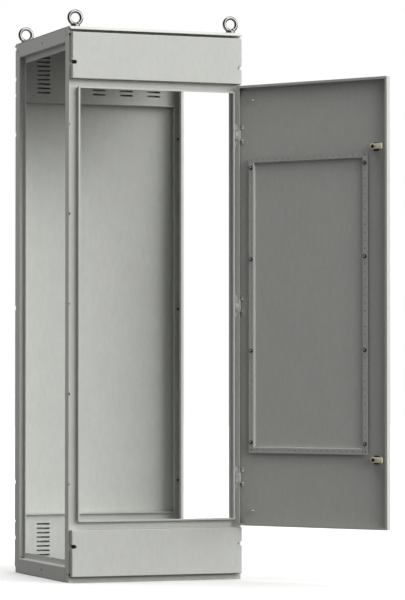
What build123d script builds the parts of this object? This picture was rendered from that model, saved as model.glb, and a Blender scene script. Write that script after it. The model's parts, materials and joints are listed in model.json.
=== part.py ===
from build123d import *
from math import cos, radians, sin
import os

# Free-standing sheet-metal enclosure for a floor-mounted drive, with its side panels taken off and its
# front door standing open.
# Frame: X to the right, Y to the rear, Z up. The origin is on the floor, in the middle of the cabinet.

os.makedirs("parts", exist_ok=True)

# ---------------------------------------------------------------- cabinet body
width = 596.0
depth = 576.0
height = 1800.0
frame_sheet = 2.0
bend_radius = 3.0

post_face = 40.0
rail_face = 50.0
return_depth = 16.0
flange_width = 20.0
rail_shelf = 36.0

pitch = 25.0
pitch_hole = 4.5
first_pitch_hole = 65.4
panel_hole_edge = 26.5
panel_hole_inset = 21.0
panel_hole_large = 9.0
panel_hole_small = 6.0
panel_hole_spaces = 6

# ---------------------------------------------------------------- front and rear frames
opening_low = 196.0
opening_top_drop = 196.0
lip_sheet = 1.5
lip_seal_gap = 3.5
lip_hem = 5.5
lip_corner = 6.0
front_lip_gap = 1.0
rear_lip_inset = 19.0
rear_shelf_depth = 20.0

vent_columns = 5
vent_column_pitch = 100.0
vent_rows = 9
vent_row_pitch = 15.0
vent_length = 47.0
vent_height = 6.0
vent_edge = 103.0

# ---------------------------------------------------------------- covers
cover_sheet = 1.5
cover_depth = 24.0
cover_side_gap = 4.5
cover_top_gap = 21.0
cover_bottom_gap = 20.0
cover_height = 150.0
cover_edge = 2.0
notch_height = 13.0
front_notch_reach = 15.0
rear_notch_reach = 12.0
notch_drop = 22.5
pocket_floor = 2.0
cover_screw_radius = 3.0
cover_screw_head = 4.8
cover_screw_head_height = 3.6
cover_screw_grip = 10.0
cover_screw_clearance = 0.3
rear_panel_screw_rows = 3
rear_panel_screw_edge = 130.0

# ---------------------------------------------------------------- roof, lifting eyes and floor
roof_front_lip = 20.0
roof_front_drop = 10.5
roof_rear_lip = 15.0
roof_rear_drop = 8.0
roof_lip_start = 1.0
eye_inset_x = 28.0
eye_inset_y = 21.0
eye_ring_radius = 21.0
eye_section_radius = 6.0
eye_ring_height = 27.0
eye_collar_radius = 15.0
eye_collar_height = 6.0
eye_neck_radius = 8.0
eye_thread_radius = 6.0
eye_hole_clearance = 0.5
washer_radius = 16.0
washer_height = 3.0
corner_plate = 5.0
corner_plate_length = 42.0
corner_gap = 2.0
eye_nut_width = 18.0
eye_nut_height = 10.0
floor_plate = 4.0
floor_bolt_radius = 7.0
floor_bolt_inset_x = 30.0
floor_bolt_inset_y = 20.0
gland_sheet = 2.0
gland_side_gap = 20.0
gland_joint_gap = 2.0

# ---------------------------------------------------------------- door
open_angle = 124.0
door_side_gap = 7.0
door_low = 177.0
door_top_drop = 178.0
door_rim_gap = 4.0
door_sheet = 1.5
door_lip = 8.0
door_hinge_lip = 12.5
door_edge = 2.0
hinge_edge = 3.5
hinge_setback = 6.0

# ---------------------------------------------------------------- hinges
hinge_end_inset = 159.0
hinge_slot_depth = 5.0
hinge_cutout_gap = 1.5
hinge_block_height = 33.0
hinge_block_reach = 15.5
hinge_block_overhang = 0.5
hinge_block_gap = 1.5
knuckle_gap = 0.3
hinge_pin_radius = 2.5
hinge_running_clearance = 0.05
hinge_ear_gap = 0.5
hinge_ear_sheet = 4.0
hinge_ear_reach = 12.0
hinge_foot_sheet = 2.5
hinge_foot_height = 10.0
pin_stand_out = 1.5
hinge_screw_radius = 2.5
hinge_screw_head = 4.2
hinge_screw_head_height = 3.0
hinge_screw_spread = 11.0
hinge_screw_inset = 9.5
hinge_screw_grip = 6.0
hinge_nut_width = 8.0
hinge_nut_height = 4.0
hinge_pocket_depth = 4.5
hinge_pocket_clearance = 0.4

# ---------------------------------------------------------------- door stiffener frame
stiffener_sheet = 1.5
stiffener_face = 20.0
stiffener_rise = 12.0
stiffener_inset = 54.0
stiffener_lock_inset = 88.0
stiffener_low_inset = 248.0
stiffener_high_inset = 247.0
stiffener_corner_hole = 7.0
stiffener_nut_rows = 4
stud_radius = 3.0
stud_top_gap = 1.0
stiffener_nut_width = 10.0
stiffener_nut_height = 5.0
stiffener_nut_flange = 6.5
stiffener_nut_flange_height = 1.2
earth_stud_inset = 57.0
earth_stud_length = 16.0
earth_stud_edge = 49.0

# ---------------------------------------------------------------- cam locks
lock_inset = 50.0
lock_spacing = 1000.0
lock_body_radius = 11.0
lock_flange_radius = 14.0
lock_flange_height = 2.5
lock_nut_width = 27.0
lock_nut_height = 5.5
spindle_radius = 6.0
spindle_square = 8.0
spindle_recess = 1.5
key_slot_width = 3.0
key_slot_depth = 3.0
cam_sheet = 3.0
cam_width = 18.0
cam_root_radius = 10.0
cam_plate_gap = 0.5
cam_plate_overlap = 8.5
cam_step = 4.5
cam_step_start = 13.0
cam_step_run = 5.0
cam_bend = 1.5
cam_tip_corner = 3.0
cam_screw_radius = 2.5
cam_screw_head = 6.0
cam_screw_head_height = 3.0
cam_screw_length = 9.0

# ---------------------------------------------------------------- places worked out from the sizes
half_width = width / 2
half_depth = depth / 2
roof_underside = height - frame_sheet
opening_high = height - opening_top_drop
opening_middle = (opening_low + opening_high) / 2
opening_height = opening_high - opening_low
post_edge = half_depth - post_face
flange_plane = half_width - return_depth
flange_edge = post_edge - flange_width
cover_width = width - 2 * cover_side_gap
cover_high = height - cover_top_gap
lip_depth = cover_depth - door_sheet - lip_seal_gap
door_depth = cover_depth - door_rim_gap
door_high = height - door_top_drop
door_middle = (door_low + door_high) / 2
door_width = 2 * (half_width - door_side_gap)
front_lip_inset = door_side_gap + hinge_edge + hinge_block_reach + front_lip_gap

front_face = Plane.XZ.offset(half_depth)
rear_face = Plane(origin=(0, half_depth, 0), x_dir=(-1, 0, 0), z_dir=(0, 1, 0))

# The door turns about an upright axis close to its outer corner. Along the door, s runs from the axis to
# the free edge. Across it, h runs from the axis to the inside of the cabinet.
axis_x = half_width - door_side_gap - hinge_edge
axis_y = -half_depth - cover_depth + hinge_setback
along_door = (-cos(radians(open_angle)), -sin(radians(open_angle)), 0)
into_cabinet = (-sin(radians(open_angle)), cos(radians(open_angle)), 0)
door_plane = Plane(origin=(axis_x, axis_y, 0), x_dir=along_door, z_dir=into_cabinet)
door_outside = -hinge_setback
door_inside = door_outside + door_sheet
door_rim = door_outside + door_depth
door_centre_s = door_width / 2 - hinge_edge
hinge_heights = (door_low + hinge_end_inset, door_middle, door_high - hinge_end_inset)
knuckle_radius = hinge_setback - door_sheet - knuckle_gap
hinge_block_front = hinge_setback - door_sheet - hinge_block_gap
hinge_ear_run = hinge_ear_gap + hinge_ear_sheet + hinge_foot_height
block_cutout = hinge_block_height + 2 * hinge_cutout_gap
ear_cutout = hinge_block_height + 2 * (hinge_ear_run + hinge_cutout_gap)


def save(piece, name):
    """Label a finished piece and write it."""
    piece.part.label = name
    export_step(piece.part, f"parts/{name}.step")


def door_section(z):
    """Level plane at height z whose x runs along the door and y into the cabinet; it extrudes downwards."""
    return Plane(origin=(axis_x, axis_y, z), x_dir=along_door, z_dir=(0, 0, -1))


def bent_bar(plane, outline, sheet, side, length):
    """Bar of bent sheet: the outline is its outer line, and the sheet lies on the given side of it."""
    with BuildPart() as bar:
        with BuildSketch(plane):
            with BuildLine():
                FilletPolyline(*outline, radius=bend_radius)
                offset(amount=sheet, side=side)
            make_face()
        extrude(amount=length)
    return bar.part


# ---------------------------------------------------------------- posts
pitch_hole_count = int((height - 2 * first_pitch_hole + 10) // pitch) + 1
pitch_hole_middle = first_pitch_hole + (pitch_hole_count - 1) * pitch / 2
panel_hole_pitch = (height - 2 * panel_hole_edge) / panel_hole_spaces


def post(x_side, y_side):
    """Corner post: outer face, step inwards and flange with a row of holes at a fixed pitch."""
    outline = [
        (x_side * half_width, y_side * (half_depth - frame_sheet)),
        (x_side * half_width, y_side * post_edge),
        (x_side * flange_plane, y_side * post_edge),
        (x_side * flange_plane, y_side * flange_edge),
    ]
    inner_side = Side.RIGHT if x_side * y_side > 0 else Side.LEFT
    flange_middle = y_side * (post_edge - flange_width / 2)
    with BuildPart() as piece:
        add(bent_bar(Plane.XY, outline, frame_sheet, inner_side, roof_underside))
        with BuildSketch(Plane.YZ.offset(x_side * flange_plane)):
            with Locations((flange_middle, pitch_hole_middle)):
                with GridLocations(pitch, pitch, 1, pitch_hole_count):
                    Circle(pitch_hole / 2)
        extrude(amount=2 * frame_sheet, both=True, mode=Mode.SUBTRACT)
        with BuildSketch(Plane.YZ.offset(x_side * half_width)):
            for step in range(panel_hole_spaces + 1):
                size = panel_hole_small if step % 2 else panel_hole_large
                z = panel_hole_edge + step * panel_hole_pitch
                with Locations((y_side * (half_depth - panel_hole_inset), z)):
                    Circle(size / 2)
        extrude(amount=2 * frame_sheet, both=True, mode=Mode.SUBTRACT)
    return piece


for x_name, x_side in (("left", -1), ("right", 1)):
    for y_name, y_side in (("front", -1), ("rear", 1)):
        save(post(x_side, y_side), f"post_{y_name}_{x_name}")


# ---------------------------------------------------------------- side rails
def side_rail(x_side, upper):
    """Rail between two posts: shelf, outer face, step inwards and flange around the side opening."""
    z_side = 1 if upper else -1
    shelf = roof_underside if upper else 0
    step = height - rail_face if upper else rail_face
    outline = [
        (x_side * (half_width - rail_shelf), shelf),
        (x_side * half_width, shelf),
        (x_side * half_width, step),
        (x_side * flange_plane, step),
        (x_side * flange_plane, step - z_side * flange_width),
    ]
    inner_side = Side.RIGHT if x_side * z_side > 0 else Side.LEFT
    hole_height = height - panel_hole_edge if upper else panel_hole_edge
    with BuildPart() as piece:
        add(bent_bar(Plane.XZ.offset(-post_edge), outline, frame_sheet, inner_side, 2 * post_edge))
        with BuildSketch(Plane.XY.offset(shelf)):
            for y_side in (-1, 1):
                with Locations((0, y_side * (post_edge + flange_edge) / 2)):
                    Rectangle(2 * (flange_plane + bend_radius), flange_width)
        extrude(amount=rail_face + 2 * flange_width, both=True, mode=Mode.SUBTRACT)
        with BuildSketch(Plane.YZ.offset(x_side * half_width)):
            with Locations((0, hole_height)):
                Circle(panel_hole_large / 2)
        extrude(amount=2 * frame_sheet, both=True, mode=Mode.SUBTRACT)
    return piece


for x_name, x_side in (("left", -1), ("right", 1)):
    save(side_rail(x_side, True), f"side_rail_top_{x_name}")
    save(side_rail(x_side, False), f"side_rail_bottom_{x_name}")

# ---------------------------------------------------------------- screw places shared by covers and frames
front_cover_spans = {
    "front_cover_upper": (cover_high - cover_height, cover_high),
    "front_cover_lower": (cover_bottom_gap, cover_bottom_gap + cover_height),
}
upper_notch = cover_high - cover_height / 2 - notch_drop
lower_notch = cover_bottom_gap + cover_height / 2 + notch_drop
cover_notches = {"front_cover_upper": [upper_notch], "front_cover_lower": [lower_notch]}
rear_panel_notches = [
    door_low + rear_panel_screw_edge
    + row * (door_high - door_low - 2 * rear_panel_screw_edge) / (rear_panel_screw_rows - 1)
    for row in range(rear_panel_screw_rows)
]
front_notch_x = cover_width / 2 - front_notch_reach + notch_height / 2
rear_notch_x = cover_width / 2 - rear_notch_reach + notch_height / 2
front_screw_places = [(side * front_notch_x, z) for side in (-1, 1) for z in (upper_notch, lower_notch)]
rear_screw_places = [
    (side * rear_notch_x, z)
    for side in (-1, 1)
    for z in (upper_notch, lower_notch, *rear_panel_notches)
]
hinge_screw_x = axis_x - hinge_screw_inset
hinge_screw_places = [
    (hinge_screw_x, z + side * hinge_screw_spread) for z in hinge_heights for side in (-1, 1)
]
hinge_stud_place = (hinge_screw_x, hinge_heights[0])

# ---------------------------------------------------------------- front frame
front_lip_width = width - 2 * front_lip_inset
with BuildPart() as front_frame:
    with BuildSketch(front_face.offset(-frame_sheet)):
        with Locations((0, roof_underside / 2)):
            Rectangle(width, roof_underside)
        with Locations((0, opening_middle)):
            Rectangle(
                front_lip_width - 2 * lip_sheet, opening_height - 2 * lip_sheet, mode=Mode.SUBTRACT
            )
        with Locations(*front_screw_places):
            Circle(cover_screw_radius, mode=Mode.SUBTRACT)
        with Locations(*hinge_screw_places, hinge_stud_place):
            Circle(hinge_screw_radius, mode=Mode.SUBTRACT)
    extrude(amount=frame_sheet)
    with BuildSketch(front_face):
        with Locations((0, opening_middle)):
            RectangleRounded(front_lip_width, opening_height, lip_corner)
            Rectangle(
                front_lip_width - 2 * lip_sheet, opening_height - 2 * lip_sheet, mode=Mode.SUBTRACT
            )
    extrude(amount=lip_depth)
    with BuildSketch(front_face.offset(lip_depth)):
        with Locations((0, opening_middle)):
            RectangleRounded(front_lip_width, opening_height, lip_corner)
            Rectangle(front_lip_width - 2 * lip_hem, opening_height - 2 * lip_hem, mode=Mode.SUBTRACT)
    extrude(amount=-lip_sheet)
save(front_frame, "front_frame")

# ---------------------------------------------------------------- rear frame
rear_lip_width = width - 2 * rear_lip_inset
shelf_length = rear_lip_width - 2 * lip_corner
shelf_holes = int(shelf_length // pitch)
with BuildPart() as rear_frame:
    with BuildSketch(rear_face.offset(-frame_sheet)):
        with Locations((0, roof_underside / 2)):
            Rectangle(width, roof_underside)
        with Locations((0, opening_middle)):
            Rectangle(
                rear_lip_width - 2 * lip_sheet, opening_height - 2 * lip_sheet, mode=Mode.SUBTRACT
            )
        with Locations((0, vent_edge), (0, height - vent_edge)):
            with GridLocations(vent_column_pitch, vent_row_pitch, vent_columns, vent_rows):
                SlotOverall(vent_length, vent_height, mode=Mode.SUBTRACT)
        with Locations(*rear_screw_places):
            Circle(cover_screw_radius, mode=Mode.SUBTRACT)
    extrude(amount=frame_sheet)
    with BuildSketch(rear_face):
        with Locations((0, opening_middle)):
            RectangleRounded(rear_lip_width, opening_height, lip_corner)
            Rectangle(
                rear_lip_width - 2 * lip_sheet, opening_height - 2 * lip_sheet, mode=Mode.SUBTRACT
            )
    extrude(amount=lip_depth)
    for z in (opening_low, opening_high - lip_sheet):
        with BuildSketch(Plane.XY.offset(z)):
            with Locations((0, half_depth - (frame_sheet + rear_shelf_depth) / 2)):
                Rectangle(shelf_length, rear_shelf_depth + frame_sheet)
            with Locations((0, half_depth - frame_sheet - rear_shelf_depth / 2)):
                with GridLocations(pitch, pitch, shelf_holes, 1):
                    Circle(pitch_hole / 2, mode=Mode.SUBTRACT)
        extrude(amount=lip_sheet)
save(rear_frame, "rear_frame")


# ---------------------------------------------------------------- covers
def cover(plane, low, high, notches, reach):
    """Shallow tray of sheet, with pockets open to both side edges for its fixing screws."""
    middle = (low + high) / 2
    notch_x = cover_width / 2 - reach + notch_height / 2
    notch_run = cover_width / 2 - notch_x
    with BuildPart() as piece:
        with BuildSketch(plane):
            with Locations((0, middle)):
                Rectangle(cover_width, high - low)
        extrude(amount=cover_depth)
        outer_face = piece.faces().sort_by(SortBy.AREA)[-2:].sort_by(Axis.Y)
        outer_face = outer_face[-1] if plane is rear_face else outer_face[0]
        fillet(outer_face.edges(), radius=cover_edge)
        with BuildSketch(plane):
            with Locations((0, middle)):
                Rectangle(cover_width - 2 * cover_sheet, high - low - 2 * cover_sheet)
        extrude(amount=cover_depth - cover_sheet, mode=Mode.SUBTRACT)
        with BuildSketch(plane):
            for side in (-1, 1):
                with Locations(*[(side * notch_x, z) for z in notches]):
                    Circle(notch_height / 2 + cover_sheet)
                with Locations(*[(side * (notch_x + notch_run / 2), z) for z in notches]):
                    Rectangle(notch_run, notch_height + 2 * cover_sheet)
            with Locations((0, middle)):
                Rectangle(cover_width - cover_sheet, high - low, mode=Mode.INTERSECT)
        extrude(amount=cover_depth - cover_sheet)
        with BuildSketch(plane.offset(pocket_floor)):
            for side in (-1, 1):
                with Locations(*[(side * notch_x, z) for z in notches]):
                    Circle(notch_height / 2)
                with Locations(*[(side * (notch_x + notch_run), z) for z in notches]):
                    Rectangle(2 * notch_run, notch_height)
        extrude(amount=cover_depth, mode=Mode.SUBTRACT)
        with BuildSketch(plane):
            with Locations(*[(side * notch_x, z) for side in (-1, 1) for z in notches]):
                Circle(cover_screw_radius + cover_screw_clearance)
        extrude(amount=pocket_floor, mode=Mode.SUBTRACT)
    return piece


for name, (low, high) in front_cover_spans.items():
    save(cover(front_face, low, high, cover_notches[name], front_notch_reach), name)
    rear_name = name.replace("front", "rear")
    save(cover(rear_face, low, high, cover_notches[name], rear_notch_reach), rear_name)
save(cover(rear_face, door_low, door_high, rear_panel_notches, rear_notch_reach), "rear_panel")


def cover_screws(plane, places):
    """Pan-head screws that hold the covers, each through its pocket's floor into the frame."""
    with BuildPart() as piece:
        with BuildSketch(plane.offset(pocket_floor)):
            with Locations(*places):
                Circle(cover_screw_radius)
        extrude(amount=-pocket_floor - frame_sheet - cover_screw_grip)
        with BuildSketch(plane.offset(pocket_floor)):
            with Locations(*places):
                Circle(cover_screw_head)
        extrude(amount=cover_screw_head_height)
        with BuildSketch(plane.offset(pocket_floor + cover_screw_head_height)):
            with Locations(*places):
                RegularPolygon(cover_screw_radius, 6)
        extrude(amount=-cover_screw_head_height / 2, mode=Mode.SUBTRACT)
    return piece


save(cover_screws(front_face, front_screw_places), "front_cover_screws")
save(cover_screws(rear_face, rear_screw_places), "rear_cover_screws")

# ---------------------------------------------------------------- roof
eye_x = half_width - eye_inset_x
eye_y = half_depth - eye_inset_y
eye_places = [(x_side * eye_x, y_side * eye_y) for x_side in (-1, 1) for y_side in (-1, 1)]
eye_seat = height + washer_height
roof_outline = [
    (-half_depth - roof_lip_start - roof_front_lip, height - roof_front_drop),
    (-half_depth - roof_lip_start, height),
    (half_depth + roof_lip_start, height),
    (half_depth + roof_lip_start + roof_rear_lip, height - roof_rear_drop),
]
with BuildPart() as roof:
    add(bent_bar(Plane.YZ.offset(-half_width), roof_outline, frame_sheet, Side.RIGHT, width))
    with BuildSketch(Plane.XY.offset(height)):
        with Locations(*eye_places):
            Circle(eye_thread_radius + eye_hole_clearance)
    extrude(amount=-2 * frame_sheet, mode=Mode.SUBTRACT)
save(roof, "roof")


corner_plate_width = half_depth - post_edge - corner_gap - 2 * frame_sheet
plate_x = half_width - frame_sheet - corner_plate_length / 2
plate_y = half_depth - frame_sheet - corner_plate_width / 2
plate_places = [(x_side * plate_x, y_side * plate_y) for x_side in (-1, 1) for y_side in (-1, 1)]

with BuildPart() as roof_corner_plates:
    with BuildSketch(Plane.XY.offset(roof_underside)):
        with Locations(*plate_places):
            Rectangle(corner_plate_length, corner_plate_width)
        with Locations(*eye_places):
            Circle(eye_thread_radius + eye_hole_clearance, mode=Mode.SUBTRACT)
    extrude(amount=-corner_plate)
save(roof_corner_plates, "roof_corner_plates")


# ---------------------------------------------------------------- lifting eyes
def eyebolt(x, y):
    """Lifting eye bolt: ring on a tapered neck and a round collar, with its thread below."""
    neck_top = eye_ring_height - eye_ring_radius
    with BuildPart() as piece:
        with BuildSketch(Plane(origin=(x, y, eye_seat), x_dir=(1, 0, 0), z_dir=(0, -1, 0))):
            with BuildLine():
                Polyline(
                    (0, 0),
                    (eye_collar_radius, 0),
                    (eye_collar_radius, eye_collar_height),
                    (eye_neck_radius, neck_top + eye_section_radius),
                    (0, neck_top + eye_section_radius),
                    close=True,
                )
            make_face()
        revolve(axis=Axis((x, y, 0), (0, 0, 1)))
        with BuildSketch(Plane(origin=(x, y, eye_seat), x_dir=(0, 1, 0), z_dir=(1, 0, 0))):
            with Locations((0, eye_ring_height + eye_ring_radius)):
                Circle(eye_section_radius)
        revolve(axis=Axis((x, y, eye_seat + eye_ring_height), (0, 1, 0)))
        with BuildSketch(Plane.XY.offset(eye_seat)):
            with Locations((x, y)):
                Circle(eye_thread_radius)
        extrude(amount=-washer_height - frame_sheet - corner_plate - eye_nut_height)
    return piece


for x_name, x_side in (("left", -1), ("right", 1)):
    for y_name, y_side in (("front", -1), ("rear", 1)):
        save(eyebolt(x_side * eye_x, y_side * eye_y), f"eyebolt_{y_name}_{x_name}")

with BuildPart() as eyebolt_washers:
    with BuildSketch(Plane.XY.offset(height)):
        with Locations(*eye_places):
            Circle(washer_radius)
            Circle(eye_thread_radius + eye_hole_clearance, mode=Mode.SUBTRACT)
    extrude(amount=washer_height)
save(eyebolt_washers, "eyebolt_washers")

with BuildPart() as eyebolt_nuts:
    with BuildSketch(Plane.XY.offset(roof_underside - corner_plate)):
        with Locations(*eye_places):
            RegularPolygon(eye_nut_width / 2, 6, major_radius=False)
            Circle(eye_thread_radius, mode=Mode.SUBTRACT)
    extrude(amount=-eye_nut_height)
save(eyebolt_nuts, "eyebolt_nuts")

# ---------------------------------------------------------------- floor
floor_bolt_x = half_width - floor_bolt_inset_x
floor_bolt_y = half_depth - floor_bolt_inset_y
with BuildPart() as floor_plates:
    with BuildSketch(Plane.XY):
        with Locations(*plate_places):
            Rectangle(corner_plate_length, corner_plate_width)
        with GridLocations(2 * floor_bolt_x, 2 * floor_bolt_y, 2, 2):
            Circle(floor_bolt_radius, mode=Mode.SUBTRACT)
    extrude(amount=floor_plate)
save(floor_plates, "floor_plates")

gland_width = width - 2 * gland_side_gap
gland_depth = post_edge - gland_joint_gap / 2 - frame_sheet


def gland_plate(y_side):
    """Half of the floor: a plain plate, resting on the shelves of the bottom rails, to cut glands into."""
    with BuildPart() as piece:
        with BuildSketch(Plane.XY.offset(frame_sheet)):
            with Locations((0, y_side * (gland_joint_gap / 2 + gland_depth / 2))):
                Rectangle(gland_width, gland_depth)
        extrude(amount=gland_sheet)
    return piece


save(gland_plate(-1), "gland_plate_front")
save(gland_plate(1), "gland_plate_rear")

# ---------------------------------------------------------------- hinges on the frame
for name, z in zip(("lower", "middle", "upper"), hinge_heights):
    block_left = axis_x - hinge_block_reach
    block_right = axis_x + hinge_block_overhang
    block_front = axis_y - hinge_block_front
    front_plane = Plane.XZ.offset(-block_front)
    with BuildPart() as hinge_block:
        with BuildSketch(Plane.XY.offset(z - hinge_block_height / 2)):
            with Locations(((block_left + block_right) / 2, (block_front - half_depth) / 2)):
                Rectangle(block_right - block_left, -half_depth - block_front)
            with Locations((axis_x, axis_y)):
                Circle(knuckle_radius)
                Circle(hinge_pin_radius, mode=Mode.SUBTRACT)
        extrude(amount=hinge_block_height)
        with BuildSketch(front_plane):
            with Locations((hinge_screw_x, z - hinge_screw_spread), (hinge_screw_x, z + hinge_screw_spread)):
                Circle(hinge_screw_head + hinge_pocket_clearance)
        extrude(amount=-hinge_pocket_depth, mode=Mode.SUBTRACT)
        with BuildSketch(front_plane):
            with Locations((hinge_screw_x, z - hinge_screw_spread), (hinge_screw_x, z + hinge_screw_spread)):
                Circle(hinge_screw_radius)
        extrude(amount=-cover_depth, mode=Mode.SUBTRACT)
        if z == hinge_heights[0]:
            with BuildSketch(front_plane):
                with Locations((hinge_screw_x, z)):
                    Circle(hinge_nut_width / 2 / cos(radians(30)) + hinge_pocket_clearance)
            extrude(amount=-hinge_pocket_depth, mode=Mode.SUBTRACT)
            with BuildSketch(front_plane):
                with Locations((hinge_screw_x, z)):
                    Circle(hinge_screw_radius)
            extrude(amount=-cover_depth, mode=Mode.SUBTRACT)
    save(hinge_block, f"hinge_block_{name}")

    pin_half = hinge_block_height / 2 + hinge_ear_gap + hinge_ear_sheet + pin_stand_out
    with BuildPart() as hinge_pin:
        with BuildSketch(Plane.XY.offset(z - pin_half)):
            with Locations((axis_x, axis_y)):
                Circle(hinge_pin_radius)
        extrude(amount=2 * pin_half)
    save(hinge_pin, f"hinge_pin_{name}")

pocket_floor_plane = Plane.XZ.offset(-(axis_y - hinge_block_front) - hinge_pocket_depth)
hinge_thread_length = -half_depth - (axis_y - hinge_block_front) - hinge_pocket_depth
hinge_thread_length += frame_sheet + hinge_screw_grip
with BuildPart() as hinge_screws:
    with BuildSketch(pocket_floor_plane):
        with Locations(*hinge_screw_places):
            Circle(hinge_screw_head)
    extrude(amount=hinge_screw_head_height)
    with BuildSketch(pocket_floor_plane):
        with Locations(*hinge_screw_places):
            Circle(hinge_screw_radius)
    extrude(amount=-hinge_thread_length)
    with BuildSketch(pocket_floor_plane.offset(hinge_screw_head_height)):
        with Locations(*hinge_screw_places):
            RegularPolygon(hinge_screw_radius, 6)
    extrude(amount=-hinge_screw_head_height / 2, mode=Mode.SUBTRACT)
save(hinge_screws, "hinge_screws")

with BuildPart() as hinge_stud:
    with BuildSketch(pocket_floor_plane.offset(hinge_nut_height)):
        with Locations(hinge_stud_place):
            Circle(hinge_screw_radius)
    extrude(amount=-hinge_nut_height - hinge_thread_length)
save(hinge_stud, "hinge_stud")

with BuildPart() as hinge_lock_nut:
    with BuildSketch(pocket_floor_plane):
        with Locations(hinge_stud_place):
            RegularPolygon(hinge_nut_width / 2, 6, major_radius=False)
            Circle(hinge_screw_radius, mode=Mode.SUBTRACT)
    extrude(amount=hinge_nut_height)
save(hinge_lock_nut, "hinge_lock_nut")

# ---------------------------------------------------------------- door shell
lock_s = door_width - hinge_edge - lock_inset
lock_places = [(lock_s, door_middle + side * lock_spacing / 2) for side in (-1, 1)]
with BuildPart() as door_shell:
    with BuildSketch(door_plane.offset(door_outside)):
        with Locations((door_centre_s, door_middle)):
            Rectangle(door_width, door_high - door_low)
    extrude(amount=door_depth)
    outer_face = door_shell.faces().sort_by(Axis(door_plane.origin, into_cabinet))[0]
    fillet(outer_face.edges(), radius=door_edge)
    with BuildSketch(door_plane.offset(door_inside)):
        with Locations((door_centre_s, door_middle)):
            Rectangle(door_width - 2 * door_sheet, door_high - door_low - 2 * door_sheet)
    extrude(amount=door_depth - 2 * door_sheet, mode=Mode.SUBTRACT)
    with BuildSketch(door_plane.offset(door_rim)):
        with Locations((door_centre_s + (door_hinge_lip - door_lip) / 2, door_middle)):
            Rectangle(door_width - door_lip - door_hinge_lip, door_high - door_low - 2 * door_lip)
    extrude(amount=-2 * door_sheet, mode=Mode.SUBTRACT)
    with BuildSketch(door_plane.offset(door_inside)):
        with Locations(*[(-hinge_edge, z) for z in hinge_heights]):
            Rectangle(2 * door_hinge_lip, block_cutout)
            Rectangle(2 * hinge_slot_depth, ear_cutout)
    extrude(amount=door_depth, mode=Mode.SUBTRACT)
    with BuildSketch(door_plane.offset(door_outside)):
        with Locations(*lock_places):
            Circle(lock_body_radius)
    extrude(amount=door_sheet, mode=Mode.SUBTRACT)
save(door_shell, "door_shell")

# ---------------------------------------------------------------- hinge ears on the door
ear_start = hinge_block_height / 2 + hinge_ear_gap
for name, z in zip(("lower", "middle", "upper"), hinge_heights):
    with BuildPart() as hinge_ears:
        for top in (z + ear_start + hinge_ear_sheet, z - ear_start):
            with BuildSketch(door_section(top)):
                Circle(knuckle_radius)
                with Locations((hinge_ear_reach / 2, (door_inside + knuckle_radius) / 2)):
                    Rectangle(hinge_ear_reach, knuckle_radius - door_inside)
                Circle(hinge_pin_radius + hinge_running_clearance, mode=Mode.SUBTRACT)
            extrude(amount=hinge_ear_sheet)
        for foot_top in (z + ear_start + hinge_ear_sheet + hinge_foot_height, z - ear_start - hinge_ear_sheet):
            with BuildSketch(door_section(foot_top)):
                with Locations(((hinge_ear_reach + knuckle_radius) / 2, door_inside + hinge_foot_sheet / 2)):
                    Rectangle(hinge_ear_reach - knuckle_radius, hinge_foot_sheet)
            extrude(amount=hinge_foot_height)
    save(hinge_ears, f"hinge_ears_{name}")

# ---------------------------------------------------------------- stiffener frame inside the door
stiffener_top = door_outside + stiffener_rise
near_s = stiffener_inset - hinge_edge
far_s = door_width - hinge_edge - stiffener_lock_inset
half_face = stiffener_face / 2
stiffener_low = door_low + stiffener_low_inset
stiffener_high = door_high - stiffener_high_inset
stiffener_hole_height = stiffener_high - stiffener_low
stile_holes = int(stiffener_hole_height // pitch) - 1
rail_length = far_s - near_s - stiffener_face
rail_holes = int(rail_length // pitch) + 1
nut_spacing = (stiffener_hole_height - 2 * pitch) / (stiffener_nut_rows - 1)
nut_heights = [stiffener_low + pitch + row * nut_spacing for row in range(stiffener_nut_rows)]
nut_places = [(s, z) for s in (near_s, far_s) for z in nut_heights]


def stile(s, inward):
    """Upright member: its face carries the holes and its leg, on the inner edge, stands on the door."""
    outline = [
        (s - inward * half_face, stiffener_top),
        (s + inward * half_face, stiffener_top),
        (s + inward * half_face, door_inside),
    ]
    side = Side.RIGHT if inward > 0 else Side.LEFT
    length = stiffener_hole_height + stiffener_face
    with BuildPart() as piece:
        add(bent_bar(door_section(stiffener_high + half_face), outline, stiffener_sheet, side, length))
        with BuildSketch(door_plane.offset(stiffener_top)):
            with Locations((s, (stiffener_low + stiffener_high) / 2)):
                with GridLocations(pitch, pitch, 1, stile_holes):
                    Circle(pitch_hole / 2)
            with Locations((s, stiffener_low), (s, stiffener_high)):
                Circle(stiffener_corner_hole / 2)
            with Locations(*[(s, z) for z in nut_heights]):
                Circle(stud_radius)
        extrude(amount=-2 * stiffener_sheet, mode=Mode.SUBTRACT)
    return piece


def stiffener_rail(z, inward):
    """Level member between the stiles, with the same section."""
    outline = [
        (z - inward * half_face, stiffener_top),
        (z + inward * half_face, stiffener_top),
        (z + inward * half_face, door_inside),
    ]
    side = Side.RIGHT if inward > 0 else Side.LEFT
    start = door_plane.from_local_coords(Vector(near_s + half_face, 0, 0))
    section = Plane(origin=start, x_dir=(0, 0, 1), z_dir=along_door)
    with BuildPart() as piece:
        add(bent_bar(section, outline, stiffener_sheet, side, rail_length))
        with BuildSketch(door_plane.offset(stiffener_top)):
            with Locations(((near_s + far_s) / 2, z)):
                with GridLocations(pitch, pitch, rail_holes, 1):
                    Circle(pitch_hole / 2)
        extrude(amount=-2 * stiffener_sheet, mode=Mode.SUBTRACT)
    return piece


save(stile(near_s, 1), "door_stile_hinge_side")
save(stile(far_s, -1), "door_stile_lock_side")
save(stiffener_rail(stiffener_low, 1), "door_rail_lower")
save(stiffener_rail(stiffener_high, -1), "door_rail_upper")

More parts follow.
